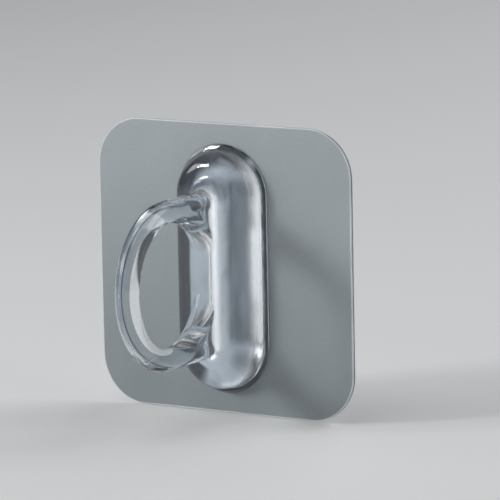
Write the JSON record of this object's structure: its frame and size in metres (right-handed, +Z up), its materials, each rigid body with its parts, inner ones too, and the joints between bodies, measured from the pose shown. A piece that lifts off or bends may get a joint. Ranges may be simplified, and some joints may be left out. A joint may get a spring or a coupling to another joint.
{
  "type": "adhesive wall hook",
  "caption": "Clear moulded D-shaped hanging loop on a low oval foot, glued to a square self-adhesive film that sticks to a smooth wall.",
  "frame": {"origin": "centre of the face that goes against the wall, the rear face of the release liner", "axes": "+Y points into the wall, so the loop stands out along -Y; +Z is up and +X is to the right seen from the front"},
  "size_m": [0.06, 0.0401, 0.06],
  "materials": {
    "clear_plastic": "clear, polished, faintly blue-grey",
    "cured_glue": "clear cured glue",
    "film": "satin grey translucent film",
    "gel": "smooth tacky gel",
    "liner": "thin milky release film"
  },
  "bodies": {
    "hook": {"hook_moulding": "clear_plastic", "glue_line": "cured_glue", "carrier_film": "film", "adhesive_gel": "gel"},
    "liner": {"release_liner": "liner"}
  },
  "joints": [
    {"name": "liner_peel", "type": "slide", "parent": "hook", "child": "liner", "axis": [0, 1, 0], "range_m": [0, 0.06]}
  ]
}
